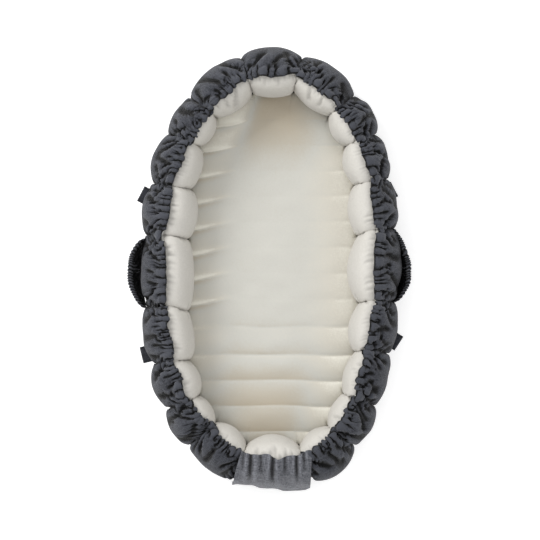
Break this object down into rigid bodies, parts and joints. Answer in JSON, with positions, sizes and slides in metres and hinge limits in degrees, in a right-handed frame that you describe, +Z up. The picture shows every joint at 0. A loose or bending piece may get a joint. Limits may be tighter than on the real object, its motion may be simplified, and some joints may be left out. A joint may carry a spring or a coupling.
{
  "type": "infant lounger",
  "caption": "Oval padded infant nest: puffed cream bolster in a gathered grey cover, channelled mattress, two side handles, side loops and a foot flap.",
  "frame": {"origin": "on the floor, below the middle of the lounger's outer box", "axes": "+Z up, +Y towards the head end, -Y towards the foot end with the flap, +X to the occupant's left when lying face up, which is the picture's right"},
  "size_m": [0.542, 0.8484, 0.1505],
  "materials": {
    "cover_cloth": "matt chambray weave, charcoal grey",
    "handle_cloth": "matt chambray weave, ruched",
    "flap_cloth": "matt chambray weave, a little lighter grey",
    "loop_webbing": "matt woven strip",
    "dark_lining": "matt black lining",
    "cream_cotton": "smooth matt cotton",
    "mattress_cotton": "smooth matt cotton, quilted",
    "elastic": "braided elastic band",
    "foam": "open-cell foam"
  },
  "bodies": {
    "lounger": {"cover_base": "cover_cloth", "cover_wall_right": "cover_cloth", "cover_wall_left": "cover_cloth", "hem_casing": "cover_cloth", "foot_band": "cover_cloth", "hem_elastic": "elastic", "puff_head": "cream_cotton", "puff_right_1": "cream_cotton", "puff_right_2": "cream_cotton", "puff_right_3": "cream_cotton", "puff_right_4": "cream_cotton", "puff_right_5": "cream_cotton", "puff_right_6": "cream_cotton", "puff_right_7": "cream_cotton", "puff_right_8": "cream_cotton", "puff_right_9": "cream_cotton", "puff_foot": "cream_cotton", "puff_left_1": "cream_cotton", "puff_left_2": "cream_cotton", "puff_left_3": "cream_cotton", "puff_left_4": "cream_cotton", "puff_left_5": "cream_cotton", "puff_left_6": "cream_cotton", "puff_left_7": "cream_cotton", "puff_left_8": "cream_cotton", "puff_left_9": "cream_cotton", "mattress_cover": "mattress_cotton", "mattress_foam_core": "foam"},
    "handle_right": {"handle_right_band": "handle_cloth", "handle_right_lining": "dark_lining"},
    "handle_left": {"handle_left_band": "handle_cloth", "handle_left_lining": "dark_lining"},
    "foot_flap": {"foot_flap_panel": "flap_cloth"},
    "loop_head_right": {"loop_head_right_strip": "loop_webbing"},
    "loop_foot_right": {"loop_foot_right_strip": "loop_webbing"},
    "loop_head_left": {"loop_head_left_strip": "loop_webbing"},
    "loop_foot_left": {"loop_foot_left_strip": "loop_webbing"}
  },
  "joints": [
    {"name": "handle_right_swing", "type": "hinge", "parent": "lounger", "child": "handle_right", "pos_m": [0.23496, 0.0008, 0.086], "axis": [0, -1, 0], "range_deg": [0, 80]},
    {"name": "handle_left_swing", "type": "hinge", "parent": "lounger", "child": "handle_left", "pos_m": [-0.23496, 0.0008, 0.086], "axis": [0, 1, 0], "range_deg": [0, 80]},
    {"name": "foot_flap_lift", "type": "hinge", "parent": "lounger", "child": "foot_flap", "pos_m": [0, -0.36175, 0.14934], "axis": [-1, 0, 0], "range_deg": [0, 150]},
    {"name": "loop_head_right_bend", "type": "hinge", "parent": "lounger", "child": "loop_head_right", "pos_m": [0.23461, 0.16072, 0.062], "axis": [0.4594, -0.8882, 0], "range_deg": [-60, 60], "stiffness_Nm_per_rad": 0.0001},
    {"name": "loop_foot_right_bend", "type": "hinge", "parent": "lounger", "child": "loop_foot_right", "pos_m": [0.23514, -0.15653, 0.062], "axis": [-0.4633, -0.8862, 0], "range_deg": [-60, 60], "stiffness_Nm_per_rad": 0.0001},
    {"name": "loop_head_left_bend", "type": "hinge", "parent": "lounger", "child": "loop_head_left", "pos_m": [-0.23461, 0.16072, 0.062], "axis": [0.4594, 0.8882, 0], "range_deg": [-60, 60], "stiffness_Nm_per_rad": 0.0001},
    {"name": "loop_foot_left_bend", "type": "hinge", "parent": "lounger", "child": "loop_foot_left", "pos_m": [-0.23514, -0.15653, 0.062], "axis": [-0.4633, 0.8862, 0], "range_deg": [-60, 60], "stiffness_Nm_per_rad": 0.0001}
  ]
}
